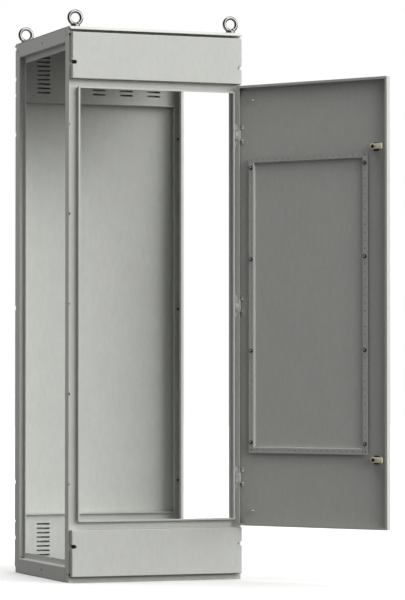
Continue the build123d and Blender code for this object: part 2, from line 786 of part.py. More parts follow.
with BuildPart() as stiffener_studs:
    with BuildSketch(door_plane.offset(door_inside)):
        with Locations(*nut_places):
            Circle(stud_radius)
    extrude(amount=door_rim - stud_top_gap - door_inside)
save(stiffener_studs, "stiffener_studs")

with BuildPart() as stiffener_nuts:
    with BuildSketch(door_plane.offset(stiffener_top)):
        with Locations(*nut_places):
            Circle(stiffener_nut_flange)
            Circle(stud_radius, mode=Mode.SUBTRACT)
    extrude(amount=stiffener_nut_flange_height)
    with BuildSketch(door_plane.offset(stiffener_top + stiffener_nut_flange_height)):
        with Locations(*nut_places):
            RegularPolygon(stiffener_nut_width / 2, 6, major_radius=False)
            Circle(stud_radius, mode=Mode.SUBTRACT)
    extrude(amount=stiffener_nut_height - stiffener_nut_flange_height)
save(stiffener_nuts, "stiffener_nuts")

earth_stud_s = earth_stud_inset - hinge_edge
with BuildPart() as door_earth_studs:
    with BuildSketch(door_plane.offset(door_inside)):
        with Locations((earth_stud_s, door_low + earth_stud_edge), (earth_stud_s, door_high - earth_stud_edge)):
            Circle(stud_radius)
    extrude(amount=earth_stud_length)
save(door_earth_studs, "door_earth_studs")

# ---------------------------------------------------------------- cam locks
# With the door closed, the cam's tip runs just behind the sheet of the front frame.
cam_tip = cover_depth - hinge_setback + frame_sheet + cam_plate_gap
cam_root = cam_tip - cam_step
cam_reach = door_side_gap + lock_inset - front_lip_inset - lip_sheet + cam_plate_overlap
for name, (s, z) in zip(("lower", "upper"), lock_places):
    with BuildPart() as lock_housing:
        with BuildSketch(door_plane.offset(door_outside)):
            with Locations((s, z)):
                Circle(lock_flange_radius)
        extrude(amount=-lock_flange_height)
        with BuildSketch(door_plane.offset(door_outside)):
            with Locations((s, z)):
                Circle(lock_body_radius)
        extrude(amount=door_depth)
        with BuildSketch(door_plane.offset(door_outside - lock_flange_height)):
            with Locations((s, z)):
                Circle(spindle_radius + hinge_running_clearance)
        extrude(amount=2 * door_depth, mode=Mode.SUBTRACT)
    save(lock_housing, f"lock_housing_{name}")

    with BuildPart() as lock_nut:
        with BuildSketch(door_plane.offset(door_inside)):
            with Locations((s, z)):
                RegularPolygon(lock_nut_width / 2, 6, major_radius=False)
                Circle(lock_body_radius, mode=Mode.SUBTRACT)
        extrude(amount=lock_nut_height)
    save(lock_nut, f"lock_nut_{name}")

    spindle_start = door_outside - lock_flange_height + spindle_recess
    with BuildPart() as lock_spindle:
        with BuildSketch(door_plane.offset(spindle_start)):
            with Locations((s, z)):
                Circle(spindle_radius)
        extrude(amount=cam_root - spindle_start)
        with BuildSketch(door_plane.offset(cam_root)):
            with Locations((s, z)):
                Rectangle(spindle_square, spindle_square)
        extrude(amount=cam_sheet)
        with BuildSketch(door_plane.offset(spindle_start)):
            with Locations((s, z)):
                Rectangle(key_slot_width, 2 * spindle_square)
        extrude(amount=key_slot_depth, mode=Mode.SUBTRACT)
        with BuildSketch(door_plane.offset(cam_root + cam_sheet)):
            with Locations((s, z)):
                Circle(cam_screw_radius)
        extrude(amount=-cam_screw_length, mode=Mode.SUBTRACT)
    save(lock_spindle, f"lock_spindle_{name}")

    step_end = cam_step_start + cam_step_run
    with BuildPart() as lock_cam:
        with BuildSketch(Plane(origin=door_plane.from_local_coords(Vector(s, z - cam_root_radius, 0)),
                               x_dir=along_door, z_dir=(0, 0, 1))):
            with BuildLine():
                FilletPolyline(
                    (-cam_root_radius, -cam_root),
                    (cam_step_start, -cam_root),
                    (step_end, -cam_tip),
                    (cam_reach, -cam_tip),
                    radius=cam_bend,
                )
                offset(amount=cam_sheet, side=Side.RIGHT)
            make_face()
        extrude(amount=2 * cam_root_radius)
        with BuildSketch(door_plane.offset(cam_root)):
            with Locations((s, z)):
                Circle(cam_root_radius)
            with Locations((s + cam_reach / 2, z)):
                RectangleRounded(cam_reach, cam_width, cam_tip_corner)
        extrude(amount=cam_step + cam_sheet, mode=Mode.INTERSECT)
        with BuildSketch(door_plane.offset(cam_root)):
            with Locations((s, z)):
                Rectangle(spindle_square, spindle_square)
        extrude(amount=cam_sheet, mode=Mode.SUBTRACT)
    save(lock_cam, f"lock_cam_{name}")

    with BuildPart() as cam_screw:
        with BuildSketch(door_plane.offset(cam_root + cam_sheet)):
            with Locations((s, z)):
                Circle(cam_screw_head)
        extrude(amount=cam_screw_head_height)
        with BuildSketch(door_plane.offset(cam_root + cam_sheet)):
            with Locations((s, z)):
                Circle(cam_screw_radius)
        extrude(amount=-cam_screw_length)
        with BuildSketch(door_plane.offset(cam_root + cam_sheet + cam_screw_head_height)):
            with Locations((s, z)):
                RegularPolygon(cam_screw_radius, 6)
        extrude(amount=-cam_screw_head_height / 2, mode=Mode.SUBTRACT)
    save(cam_screw, f"cam_screw_{name}")
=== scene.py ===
"""Finishes, fixings and studio for a free-standing sheet-metal enclosure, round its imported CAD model."""

import json
import math

import bmesh
import bpy
import numpy as np
from bpy.props import FloatProperty, FloatVectorProperty, PointerProperty
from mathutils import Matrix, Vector


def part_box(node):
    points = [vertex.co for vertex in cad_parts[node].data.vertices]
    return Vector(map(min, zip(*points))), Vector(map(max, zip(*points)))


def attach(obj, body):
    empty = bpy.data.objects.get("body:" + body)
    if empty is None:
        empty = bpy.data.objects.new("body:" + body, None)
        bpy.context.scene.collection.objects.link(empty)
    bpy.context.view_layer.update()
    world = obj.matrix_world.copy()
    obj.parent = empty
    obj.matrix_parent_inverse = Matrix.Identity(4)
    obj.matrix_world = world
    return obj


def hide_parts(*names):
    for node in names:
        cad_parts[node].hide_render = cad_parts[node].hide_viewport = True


bl_info = {
    "name": "Drive Enclosure",
    "version": (1, 0, 0),
    "blender": (4, 5, 0),
    "location": "View3D > Sidebar > Enclosure",
    "description": "Finishes and fixings for a free-standing sheet-metal enclosure with an open door",
    "category": "Object",
}

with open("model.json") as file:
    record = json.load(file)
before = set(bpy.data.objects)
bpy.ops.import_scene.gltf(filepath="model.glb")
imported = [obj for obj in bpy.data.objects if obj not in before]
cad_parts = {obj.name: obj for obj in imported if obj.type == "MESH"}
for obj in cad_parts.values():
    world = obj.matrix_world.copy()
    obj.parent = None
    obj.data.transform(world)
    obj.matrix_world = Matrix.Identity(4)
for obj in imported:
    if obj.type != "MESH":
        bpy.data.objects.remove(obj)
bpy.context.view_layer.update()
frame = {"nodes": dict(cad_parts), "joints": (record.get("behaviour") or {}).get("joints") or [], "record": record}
NODES = frame["nodes"]
RECORD = frame["record"]
JOINTS = {joint["name"]: joint for joint in frame["joints"]}

MM = 0.001
UP = Vector((0, 0, 1))
TO_FRONT = Vector((0, -1, 0))
TO_REAR = Vector((0, 1, 0))
TO_RIGHT = Vector((1, 0, 0))
INTO_DOOR = Vector(JOINTS["lock_upper_turn"]["axis"])

ROD_SIDES = 24
BORE_SIDES = 32
HEAD_SIDES = 40
FLANGE_SIDES = 48
WASHER_SIDES = 64
COLLAR_SIDES = 64
RING_STEPS = 96
RING_SIDES = 32
PANEL_HOLE_SPACES = 6

# turn to the right of the front and height in degrees, focus, and the setting that holds the strength
SOFT_BOXES = (
    (24, 20, 16.0, "key"),
    (66, 15, 16.0, "edge"),
    (-150, 15, 6.0, "back"),
    (140, 25, 6.0, "side"),
    (0, 90, 12.0, "top"),
)


# ------------------------------------------------------------------ sizes and colours


def millimetres(name, default, description):
    """Length property shown in millimetres."""
    return FloatProperty(
        name=name, description=description, default=default * MM, min=0, precision=4, unit="LENGTH"
    )


def colour(name, default, description):
    """Linear colour property."""
    return FloatVectorProperty(
        name=name, description=description, default=default, size=3, min=0, max=1, subtype="COLOR"
    )


class FinishSettings(bpy.types.PropertyGroup):
    """Colours and textures of the finishes."""

    coat: colour("Powder coat", (0.60, 0.61, 0.58), "Colour of the powder coat")
    inner: colour("Inner paint", (0.56, 0.57, 0.545), "Colour of the door's stiffener frame")
    zinc: colour("Bright zinc", (0.66, 0.67, 0.69), "Colour of bright zinc plate")
    passivate: colour("Yellow zinc", (1.0, 0.95, 0.73), "Colour of the pale yellow cams")
    chrome: colour("Plating", (0.24, 0.236, 0.232), "Colour of the lifting eyes")
    black: colour("Black steel", (0.022, 0.022, 0.024), "Colour of locks and screws")
    nylon: colour("Nylon insert", (0.02, 0.07, 0.36), "Colour of the lock nut")
    galvanised: colour("Galvanised sheet", (0.42, 0.44, 0.46), "Colour of bare galvanised sheet")
    peel: millimetres("Orange peel", 0.035, "Depth of the powder coat's ripple")
    # width of the band along the coat's edges that is lightened as a painted highlight
    edge_radius: millimetres("Edge radius", 0.9, "Radius that the coat gives to a folded edge")
    # the rubbed edges of plated and black pieces are also lightened as a painted highlight
    rub: millimetres("Rubbed edge", 0.5, "Radius of the rubbed edges of plated and black pieces")
    # the yellow film's rubbed edges are also lightened as a painted highlight
    film_rub: millimetres("Rubbed film", 0.6, "Radius of the rubbed edges of the yellow film")
    # reach of the painted shade that darkens the coat in holes and narrow gaps
    recess: millimetres("Recess", 40, "How near a wall has to be for the coat to be dark in a hole or gap")


class FixingSettings(bpy.types.PropertyGroup):
    """Sizes of screws, studs, nuts and washers."""

    cover_head: millimetres("Cover screw head", 3.6, "Height of a cover screw's head")
    cover_radius: millimetres("Cover screw head radius", 4.8, "Radius of a cover screw's head")
    cover_socket: millimetres("Cover screw socket", 2.3, "Radius of a cover screw's hexagon socket")
    hinge_head: millimetres("Hinge screw head", 3.0, "Height of a hinge screw's head")
    hinge_radius: millimetres("Hinge screw head radius", 4.2, "Radius of a hinge screw's head")
    hinge_socket: millimetres("Hinge screw socket", 2.0, "Radius of a hinge screw's hexagon socket")
    cam_head: millimetres("Cam screw head", 3.0, "Height of a cam screw's head")
    cam_radius: millimetres("Cam screw head radius", 6.0, "Radius of a cam screw's head")
    cam_socket: millimetres("Cam screw socket", 2.6, "Radius of a cam screw's hexagon socket")
    small_thread: millimetres("M5 thread", 2.5, "Outer radius of the small threads")
    small_pitch: millimetres("M5 pitch", 0.8, "Pitch of the small threads")
    thread: millimetres("M6 thread", 3.0, "Outer radius of studs and cover screws")
    pitch: millimetres("M6 pitch", 1.0, "Pitch of studs and cover screws")
    eye_thread: millimetres("M12 thread", 6.0, "Outer radius of a lifting eye's thread")
    eye_pitch: millimetres("M12 pitch", 1.75, "Pitch of a lifting eye's thread")
    large_insert: millimetres("Large insert", 4.45, "Radius of the threaded inserts in the large holes")
    small_insert: millimetres("Small insert", 2.95, "Radius of the threaded inserts in the small holes")
    insert_length: millimetres("Insert length", 4, "Length of the threaded inserts")
    insert_edge: millimetres("Insert edge", 26.5, "First insert above the foot and last below the roof")
    insert_inset: millimetres("Insert inset", 21, "Inserts from the front and rear of the frame")
    nut_flats: millimetres("Flange nut", 10, "Flange nut's width across flats")
    nut_flange: millimetres("Nut flange", 6.5, "Radius of a flange nut's flange")
    nut_flange_height: millimetres("Flange height", 1.2, "Height of a flange nut's flange")
    eye_nut_flats: millimetres("Eye nut", 18, "Width across flats of a lifting eye's nut")
    eye_washer: millimetres("Eye washer", 16, "Radius of a lifting eye's washer")
    eye_play: millimetres("Eye washer play", 0.5, "Room between a lifting eye's thread and its washer")
    insert_nut_flats: millimetres("Insert nut", 8, "Width across flats of the hinge's lock nut")
    lock_nut_flats: millimetres("Lock nut", 27, "Width across flats of a lock's nut")
    lock_barrel: millimetres("Lock barrel", 11, "Radius of a lock's barrel inside its nut")
    cast_edge: millimetres("Cast edge", 0.6, "Rounding of hinge blocks and lock housings")
    worn_edge: millimetres("Worn edge", 0.5, "Rounding of hinge pins and cams")


class EyeSettings(bpy.types.PropertyGroup):
    """Sizes of the forged lifting eyes."""

    ring: millimetres("Ring radius", 21, "Radius of the ring's centre line")
    section: millimetres("Section radius", 6, "Radius of the ring's round section")
    collar: millimetres("Collar radius", 15, "Radius of the collar")
    collar_height: millimetres("Collar height", 6, "Height of the collar's edge")
    neck: millimetres("Neck radius", 8.5, "Radius where the neck meets the ring")
    chamfer: millimetres("Collar chamfer", 0.8, "Chamfer of the collar's edges")
    foot: millimetres("Neck foot", 1.5, "How far the neck spreads at its foot")
    foot_height: millimetres("Neck foot height", 2.2, "Height of the neck's foot above the collar's edge")
    neck_height: millimetres("Neck height", 5, "Height of the neck above the collar's edge")
    shank: millimetres("Shank length", 20, "Length of the thread below the collar")
    voxel: millimetres("Voxel", 0.9, "Size of the grid that blends neck and ring")


class StudioSettings(bpy.types.PropertyGroup):
    """Camera, floor and light."""

    lens: FloatProperty(
        name="Lens", description="Focal length in millimetres for a 36 mm sensor", default=181.1
    )
    yaw: FloatProperty(
        name="Yaw", description="Camera's turn to the right of the rear", default=math.radians(20.74),
        subtype="ANGLE", unit="ROTATION",
    )
    pitch: FloatProperty(
        name="Pitch", description="Camera's tilt above level", default=math.radians(1.5),
        subtype="ANGLE", unit="ROTATION",
    )
    place: FloatVectorProperty(
        name="Camera place", description="Camera's place", default=(-3.3442, -9.5521, 0.657),
        subtype="TRANSLATION", unit="LENGTH",
    )
    floor: FloatProperty(name="Floor", description="Width of the floor", default=60, unit="LENGTH")
    key: FloatProperty(name="Key", description="Strength of the soft box at the front", default=6.5)
    edge: FloatProperty(name="Edge", description="Strength of the soft box at the right", default=4.6)
    back: FloatProperty(name="Back", description="Strength of the soft box behind on the left", default=1.35)
    side: FloatProperty(name="Side", description="Strength of the soft box behind on the right", default=1.0)
    top: FloatProperty(name="Top", description="Strength of the soft box overhead", default=5.0)
    shade: FloatProperty(name="Shade", description="Strength of the dark surroundings", default=0.03)


class EnclosureSettings(bpy.types.PropertyGroup):
    """All settings of the enclosure."""

    finish: PointerProperty(type=FinishSettings)
    fixing: PointerProperty(type=FixingSettings)
    eye: PointerProperty(type=EyeSettings)
    studio: PointerProperty(type=StudioSettings)


def settings():
    """The scene's settings."""
    return bpy.context.scene.enclosure


# ------------------------------------------------------------------ shader arithmetic


class Wire:
    """A node socket that takes part in arithmetic: each operator adds a Math node."""

    def __init__(self, tree, socket):
        self.tree = tree
        self.socket = socket

    def _math(self, operation, first, second):
        node = self.tree.add("ShaderNodeMath", {"operation": operation}, [first, second])
        return node.out(0)

    def __add__(self, other):
        return self._math("ADD", self, other)

    def __sub__(self, other):
        return self._math("SUBTRACT", self, other)

    def __rsub__(self, other):
        return self._math("SUBTRACT", other, self)

    def __mul__(self, other):
        return self._math("MULTIPLY", self, other)

    def __pow__(self, other):
        return self._math("POWER", self, other)

    __radd__ = __add__
    __rmul__ = __mul__

    def above(self, level):
        """The part above a level, never below nought."""
        return self._math("MAXIMUM", self - level, 0.0)

    def clamp(self):
        """Held between 0 and 1."""
        return self._math("MINIMUM", self._math("MAXIMUM", self, 0.0), 1.0)


class NodeHandle:
    """A node whose outputs come back as wires."""

    def __init__(self, tree, node):
        self.tree = tree
        self.node = node

    def out(self, key):
        return Wire(self.tree, self.node.outputs[key])


class NodeTree:
    """Adds nodes to a shader tree."""

    def __init__(self, node_tree):
        self.node_tree = node_tree
        node_tree.nodes.clear()

    def plug(self, value, socket):
        """Link a wire to a socket, or set the socket's own value."""
        if isinstance(value, Wire):
            self.node_tree.links.new(value.socket, socket)
        elif isinstance(value, (tuple, list, Vector)) and len(value) == 3 and socket.type == "RGBA":
            socket.default_value = (*value, 1.0)
        else:
            socket.default_value = value

    def add(self, kind, options=None, inputs=None):
        """A node of a kind, with its options set first, then the values or links of its inputs."""
        node = self.node_tree.nodes.new(kind)
        for name, value in (options or {}).items():
            setattr(node, name, value)
        pairs = inputs.items() if isinstance(inputs, dict) else enumerate(inputs or [])
        for key, value in pairs:
            self.plug(value, node.inputs[key])
        return NodeHandle(self, node)

    def noise(self, vector, scale, detail=2.0, roughness=0.5):
        """Noise from 0 to 1; scale is in cells per metre."""
        inputs = {"Vector": vector, "Scale": scale, "Detail": detail, "Roughness": roughness}
        return self.add("ShaderNodeTexNoise", {}, inputs).out("Fac")

    def stretched(self, vector, scale):
        """Coordinates scaled along each axis."""
        return self.add("ShaderNodeVectorMath", {"operation": "MULTIPLY"}, [vector, scale]).out(0)

    def mix(self, factor, first, second):
        """Mix of two colours."""
        node = self.add("ShaderNodeMix", {"data_type": "RGBA"})
        self.plug(factor, node.node.inputs[0])
        self.plug(first, node.node.inputs[6])
        self.plug(second, node.node.inputs[7])
        return node.out(2)

    def bump(self, height, distance, strength):
        """Bump from a height."""
        inputs = {"Height": height, "Distance": distance, "Strength": strength}
        return self.add("ShaderNodeBump", {}, inputs).out("Normal")


def scaled(base, factor):
    """A colour made darker or lighter, never above white."""
    return tuple(min(1.0, channel * factor) for channel in base)


class Finish(NodeTree):
    """A material on object coordinates."""

    def __init__(self, name):
        self.material = bpy.data.materials.new(name)
        self.material.use_nodes = True
        super().__init__(self.material.node_tree)
        self.place = self.add("ShaderNodeTexCoord").out("Object")

    def edge_mask(self, radius):
        """1 along sharp edges and 0 on flat faces."""
        soft = self.add("ShaderNodeBevel", {"samples": 4}, {"Radius": radius}).out(0)
        flat = self.add("ShaderNodeNewGeometry").out("Normal")
        facing = self.add("ShaderNodeVectorMath", {"operation": "DOT_PRODUCT"}, [soft, flat]).out("Value")
        return ((1.0 - facing) * 4.0).clamp()

    def recess_mask(self, reach):
        """Painted shade mask: 1 in holes and narrow gaps, where shade falls, and 0 on faces and in open corners.
        """
        open_part = self.add("ShaderNodeAmbientOcclusion", {"samples": 8}, {"Distance": reach}).out("AO")
        return ((0.42 - open_part) * 3.2).clamp()

    def surface(self, **inputs):
        """The principled shader, its inputs named with underscores for spaces."""
        named = {key.replace("_", " "): value for key, value in inputs.items()}
        shader = self.add("ShaderNodeBsdfPrincipled", {}, named)
        self.add("ShaderNodeOutputMaterial", {}, {"Surface": shader.out("BSDF")})
        return self.material


# ------------------------------------------------------------------ finishes


def powder_coat(name, base, roughness):
    """Fine-texture powder coat: an orange-peel ripple, slightly uneven tone, a painted highlight along the edges
    and painted shade in holes and narrow gaps.
    """
    finish = settings().finish
    tree = Finish(name)
    peel = tree.noise(tree.place, 420.0, 2.0)
    grain = tree.noise(tree.place, 1900.0, 1.0)
    cloud = tree.noise(tree.place, 9.0, 3.0, 0.55)
    mottle = tree.noise(tree.stretched(tree.place, (85.0, 85.0, 32.0)), 1.0, 4.0, 0.65)
    edge = tree.edge_mask(finish.edge_radius)
    tone = (cloud - 0.5) * 0.45 + (mottle - 0.5) * 0.85 + (grain - 0.5) * 0.30 + 0.5
    body = tree.mix(tone.clamp(), scaled(base, 0.90), scaled(base, 1.10))
    # painted highlight: the coat lightened along its edges
    edge_highlighted = tree.mix(edge * 0.35, body, scaled(base, 1.22))
    # painted shade: the coat darkened in holes and narrow gaps
    highlight_and_shade = tree.mix(tree.recess_mask(finish.recess) * 0.8, edge_highlighted, scaled(base, 0.12))
    height = peel * 0.7 + grain * 0.3
    return tree.surface(
        Base_Color=highlight_and_shade,
        Roughness=(roughness + (cloud - 0.5) * 0.10 + (grain - 0.5) * 0.10).clamp(),
        Normal=tree.bump(height, finish.peel, 0.6),
        Specular_IOR_Level=0.22,
    )


def plated(name, base, roughness, tint=0.10, streaks=0.0, rim=1.0):
    """Plated metal with faint stains, handling marks and lighter edges, partly rubbed and partly a painted
    highlight; rim dims what it mirrors at a glancing angle.
    """
    tree = Finish(name)
    stain = tree.noise(tree.place, 160.0, 3.0)
    fine = tree.noise(tree.place, 1400.0, 2.0)
    brushed = tree.noise(tree.stretched(tree.place, (60.0, 60.0, 2200.0)), 1.0, 2.0)
    edge = tree.edge_mask(settings().finish.rub)
    body = tree.mix(stain, scaled(base, 1.0 - tint), scaled(base, 1.0 + tint))
    return tree.surface(
        # lighter edges: rubbed plating and a painted highlight
        Base_Color=tree.mix(edge * 0.5, body, scaled(base, 1.25)),
        Metallic=1.0,
        Roughness=(roughness + (stain - 0.5) * 0.14 + (brushed - 0.5) * streaks).clamp(),
        Normal=tree.bump(fine, 0.02 * MM, 0.4),
        Specular_Tint=(rim, rim, rim, 1.0),
    )


def yellow_passivate(name, base):
    """Zinc with a pale yellow passivation whose film turns slightly rosy and green."""
    tree = Finish(name)
    film = tree.noise(tree.place, 210.0, 3.0, 0.6)
    fine = tree.noise(tree.place, 1600.0, 2.0)
    rosy = (base[0], base[1] * 0.84, base[2] * 0.92)
    green = (base[0] * 0.88, base[1] * 1.04, base[2] * 0.86)
    shifted = tree.mix(film, rosy, green)
    body = tree.mix(0.55, shifted, base)
    edge = tree.edge_mask(settings().finish.film_rub)
    return tree.surface(
        # lighter edges: rubbed film and a painted highlight
        Base_Color=tree.mix(edge * 0.45, body, (0.92, 0.88, 0.74)),
        Metallic=0.06,
        Roughness=(0.40 + (fine - 0.5) * 0.16).clamp(),
        Normal=tree.bump(fine, 0.03 * MM, 0.5),
    )


def black_oxide(name, base):
    """Black steel, lighter on the edges where its film is worn and as a painted highlight."""
    tree = Finish(name)
    patch = tree.noise(tree.place, 240.0, 3.0)
    edge = tree.edge_mask(settings().finish.rub)
    body = tree.mix(patch, base, scaled(base, 2.2))
    return tree.surface(
        # lighter edges: worn film and a painted highlight
        Base_Color=tree.mix(edge * 0.5, body, (0.20, 0.20, 0.21)),
        Metallic=0.55,
        Roughness=(0.36 + (patch - 0.5) * 0.2).clamp(),
        Normal=tree.bump(patch, 0.03 * MM, 0.4),
    )


def galvanised(name, base):
    """Galvanised sheet with its spangle."""
    tree = Finish(name)
    inputs = {"Vector": tree.place, "Scale": 55.0}
    spangle = tree.add("ShaderNodeTexVoronoi", {"feature": "F1"}, inputs)
    tone = tree.add("ShaderNodeSeparateColor", {}, [spangle.out("Color")]).out(0)
    fine = tree.noise(tree.place, 900.0, 2.0)
    return tree.surface(
        Base_Color=tree.mix(tone, scaled(base, 0.82), scaled(base, 1.2)),
        Metallic=0.9,
        Roughness=(0.38 + (tone - 0.5) * 0.22).clamp(),
        Normal=tree.bump(fine, 0.02 * MM, 0.4),
    )


def moulded_nylon(name, base):
    """Moulded nylon with a faint grain."""
    tree = Finish(name)
    grain = tree.noise(tree.place, 1300.0, 2.0)
    return tree.surface(
        Base_Color=tree.mix(grain, scaled(base, 0.85), scaled(base, 1.2)),
        Roughness=(0.42 + (grain - 0.5) * 0.15).clamp(),
        Normal=tree.bump(grain, 0.03 * MM, 0.4),
    )


def make_finishes():
    """One material for each of the record's slots."""
    finish = settings().finish
    return {
        "powder_coat": powder_coat("fine texture powder coat", tuple(finish.coat), 0.54),
        "inner_paint": powder_coat("inner paint", tuple(finish.inner), 0.40),
        "chrome": plated("bright plating", tuple(finish.chrome), 0.10, 0.08, rim=0.05),
        "bright_zinc": plated("bright zinc", tuple(finish.zinc), 0.34, 0.12, 0.10),
        "yellow_zinc": yellow_passivate("yellow zinc", tuple(finish.passivate)),
        "black_steel": black_oxide("black oxide", tuple(finish.black)),
        "galvanised_steel": galvanised("galvanised sheet", tuple(finish.galvanised)),
        "blue_nylon": moulded_nylon("blue nylon", tuple(finish.nylon)),
    }


FINISHES = {}
SLOT_OF_NODE = {part["node"]: part["material_slot"] for part in RECORD["subparts"]}


def finish_nodes(body):
    """Give every CAD node of a body the material of its slot."""
    for name in RECORD["behaviour"]["bodies"][body]:
        mesh = NODES[name].data
        mesh.materials.clear()
        mesh.materials.append(FINISHES[SLOT_OF_NODE[name]])


# ------------------------------------------------------------------ measuring CAD nodes


def islands(node, axis):
    """Each separate solid of a node, as (lowest point on its centre line, length), measured along axis."""
    mesh = NODES[node].data
    points = np.array([v.co for v in mesh.vertices])
    keys = np.unique(np.round(points, 6), axis=0, return_inverse=True)[1].ravel()
    parent = list(range(keys.max() + 1))

    def root(i):
        while parent[i] != i:
            parent[i] = parent[parent[i]]
            i = parent[i]
        return i

    for polygon in mesh.polygons:
        first, *others = [root(keys[i]) for i in polygon.vertices]
        for other in others:
            parent[root(other)] = root(first)
    roots = np.array([root(k) for k in keys])
    side = axis.orthogonal().normalized()
    basis = np.array([side, axis.cross(side), axis])
    found = []
    for label in np.unique(roots):
        local = points[roots == label] @ basis.T
        low, high = local.min(0), local.max(0)
        centre = (low + high) / 2
        base = basis.T @ np.array([centre[0], centre[1], low[2]])
        found.append((Vector(base), high[2] - low[2]))
    return sorted(found, key=lambda item: tuple(round(c, 4) for c in item[0]))


# ------------------------------------------------------------------ geometry node trees


class GeometryTree:
    """A geometry node group with named inputs; its geometry input is a set of points."""

    SOCKETS = {"float": "NodeSocketFloat", "int": "NodeSocketInt", "vector": "NodeSocketVector",
               "material": "NodeSocketMaterial"}

    def __init__(self, name, inputs):
        self.group = bpy.data.node_groups.new(name, "GeometryNodeTree")
        self.group.interface.new_socket("Geometry", in_out="INPUT", socket_type="NodeSocketGeometry")
        self.keys = {}
        for label, kind in inputs.items():
            socket = self.group.interface.new_socket(
                label, in_out="INPUT", socket_type=self.SOCKETS[kind]
            )
            self.keys[label] = socket.identifier
        self.group.interface.new_socket("Geometry", in_out="OUTPUT", socket_type="NodeSocketGeometry")
        self.entry = self.group.nodes.new("NodeGroupInput")

    def given(self, label):
        """The wire of a named input."""
        return self.entry.outputs[label]

    def add(self, kind, options=None, inputs=None, out=0):
        """A node; its inputs are links or values, by name or index. Returns one output."""
        node = self.group.nodes.new(kind)
        for name, value in (options or {}).items():
            setattr(node, name, value)
        for key, value in (inputs or {}).items():
            socket = node.inputs[key]
            if isinstance(value, list):
                for item in value:
                    self.group.links.new(item, socket)
            elif isinstance(value, bpy.types.NodeSocket):
                self.group.links.new(value, socket)
            else:
                socket.default_value = value
        return node.outputs[out]

    def math(self, operation, first, second):
        """A Math node."""
        return self.add("ShaderNodeMath", {"operation": operation}, {0: first, 1: second})

    def cylinder(self, sides, radius, depth):
        """Closed cylinder about the origin."""
        inputs = {"Vertices": sides, "Radius": radius, "Depth": depth}
        return self.add("GeometryNodeMeshCylinder", {}, inputs)

    def standing(self, sides, radius, depth):
        """Closed cylinder from 0 to depth."""
        return self.lift(self.cylinder(sides, radius, depth), self.math("MULTIPLY", depth, 0.5))

    def cone(self, sides, top, bottom, depth):
        """Closed cone from its base at the origin."""
        inputs = {"Vertices": sides, "Radius Top": top, "Radius Bottom": bottom, "Depth": depth}
        return self.add("GeometryNodeMeshCone", {}, inputs)

    def lift(self, geometry, height):
        """Geometry raised by a height."""
        offset = self.add("ShaderNodeCombineXYZ", {}, {"Z": height})
        return self.add("GeometryNodeTransform", {}, {"Geometry": geometry, "Translation": offset})

    def cut(self, operation, first, second):
        """Exact boolean of two closed meshes."""
        options = {"operation": operation, "solver": "EXACT"}
        if operation == "DIFFERENCE":
            return self.add("GeometryNodeMeshBoolean", options, {"Mesh 1": first, "Mesh 2": [second]})
        return self.add("GeometryNodeMeshBoolean", options, {"Mesh 2": [first, second]})

    def chamfered(self, sides, radius, height, face):
        """Prism from 0 to height, chamfered at both ends so that its faces are circles of radius face."""
        flare = self.math("ADD", face, self.math("MULTIPLY", height, 1.9))
        prism = self.standing(sides, radius, height)
        upper = self.cone(FLANGE_SIDES, face, flare, height)
        lower = self.cone(FLANGE_SIDES, flare, face, height)
        return self.cut("INTERSECT", self.cut("INTERSECT", prism, upper), lower)

    def thread(self, radius, pitch, length):
        """Screw thread from 0 to length: a core with a helical ridge."""
        core = self.math("SUBTRACT", radius, self.math("MULTIPLY", pitch, 0.55))
        rod = self.standing(ROD_SIDES, core, length)
        run = self.math("SUBTRACT", length, self.math("MULTIPLY", pitch, 1.2))
        turns = self.math("DIVIDE", run, pitch)
        ridge_radius = self.math("MULTIPLY", pitch, 0.5)
        line_radius = self.math("SUBTRACT", radius, ridge_radius)
        spiral = self.add("GeometryNodeCurveSpiral", {}, {
            "Resolution": 16, "Rotations": turns, "Start Radius": line_radius,
            "End Radius": line_radius, "Height": run,
        })
        section = self.add("GeometryNodeCurvePrimitiveCircle", {}, {"Resolution": 4, "Radius": ridge_radius})
        ridge = self.add("GeometryNodeCurveToMesh", {}, {
            "Curve": spiral, "Profile Curve": section, "Fill Caps": True,
        })
        raised = self.lift(ridge, self.math("MULTIPLY", pitch, 0.6))
        return self.join([rod, raised])

    def join(self, parts):
        """Several geometries as one."""
        return self.add("GeometryNodeJoinGeometry", {}, {"Geometry": parts})

    def finish(self, piece):
        """Put the piece on every point, turned so that its Z lies along Axis, and give it its material."""
        turn = self.add("FunctionNodeAlignEulerToVector", {"axis": "Z"}, {"Vector": self.given("Axis")})
        placed = self.add("GeometryNodeInstanceOnPoints", {}, {
            "Points": self.given("Geometry"), "Instance": piece, "Rotation": turn,
        })
        real = self.add("GeometryNodeRealizeInstances", {}, {"Geometry": placed})
        merged = self.add("GeometryNodeMergeByDistance", {}, {"Geometry": real, "Distance": 0.000005})
        painted = self.add("GeometryNodeSetMaterial", {}, {
            "Geometry": merged, "Material": self.given("Material"),
        })
        exit_node = self.group.nodes.new("NodeGroupOutput")
        self.group.links.new(painted, exit_node.inputs[0])
        return self

    def on_points(self, name, points, values):
        """A plain mesh object with the tree's piece on each point."""
        mesh = bpy.data.meshes.new(name)
        mesh.from_pydata([tuple(p) for p in points], [], [])
        piece = bpy.data.objects.new(name, mesh)
        bpy.context.scene.collection.objects.link(piece)
        modifier = piece.modifiers.new("build", "NODES")
        modifier.node_group = self.group
        for label, value in values.items():
            modifier[self.keys[label]] = value
        bpy.context.view_layer.update()
        graph = bpy.context.evaluated_depsgraph_get()
        made = bpy.data.meshes.new_from_object(piece.evaluated_get(graph))
        piece.modifiers.remove(modifier)
        piece.data = made
        shade_by_angle(piece, 35)
        return piece


def shade_by_angle(piece, degrees):
    """Smooth shading, split where faces meet at more than an angle."""
    mesh = piece.data
    work = bmesh.new()
    work.from_mesh(mesh)
    limit = math.radians(degrees)
    for face in work.faces:
        face.smooth = True
    for edge in work.edges:
        edge.smooth = len(edge.link_faces) == 2 and edge.calc_face_angle(0) < limit
    work.to_mesh(mesh)
    work.free()


